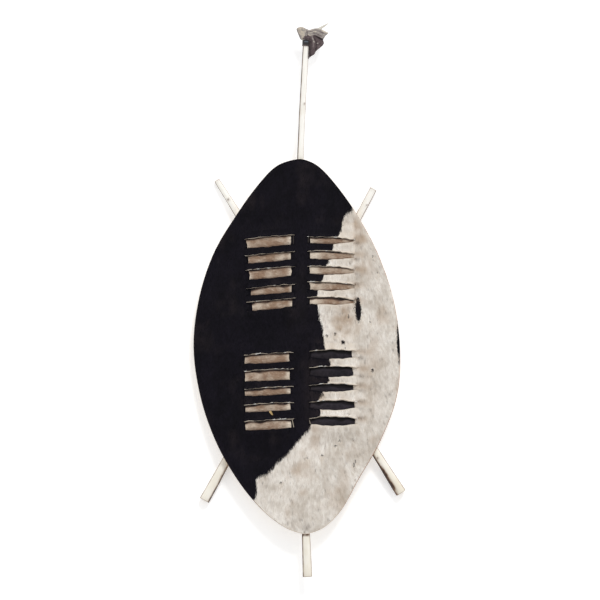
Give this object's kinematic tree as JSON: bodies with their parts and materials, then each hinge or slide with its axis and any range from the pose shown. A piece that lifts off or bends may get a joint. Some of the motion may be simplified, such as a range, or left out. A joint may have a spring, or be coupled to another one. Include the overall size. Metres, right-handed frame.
{
  "type": "hide shield",
  "caption": "Pointed oval cowhide shield laced with hide strips, on a long tufted centre stick and two crossed sticks behind it.",
  "frame": {"origin": "on the ground plane under the middle of the whole shield's outline as it lies face up", "axes": "+Z out of the face of the hide, +Y along the centre stick towards its tuft, +X to the right seen from above"},
  "size_m": [0.5094, 1.3292, 0.0652],
  "materials": {
    "hide_hair": "stiff cowhide with its hair on, black at the upper left and white at the lower right, bare cream flesh side behind",
    "lace_flesh_side": "dry rawhide strip, beige flesh side out",
    "lace_black_hair": "hide strip with short black hair",
    "peeled_wood": "peeled branch, cream with brown flecks and knots",
    "sinew": "dry pale hide thong",
    "tuft_hide": "folded scrap of hide, brown-grey and worn",
    "black_band": "narrow black band with a dull shine"
  },
  "bodies": {
    "root": {"hide": "hide_hair", "lace_upper_left": "lace_flesh_side", "lace_upper_right": "lace_flesh_side", "lace_lower_left": "lace_flesh_side", "lace_lower_right": "lace_black_hair", "centre_stick": "peeled_wood", "crossed_stick_left": "peeled_wood", "crossed_stick_right": "peeled_wood", "centre_lashing": "sinew", "stick_tie_top": "sinew", "stick_tie_bottom": "sinew", "tuft": "tuft_hide", "tuft_binding": "black_band"}
  },
  "joints": []
}
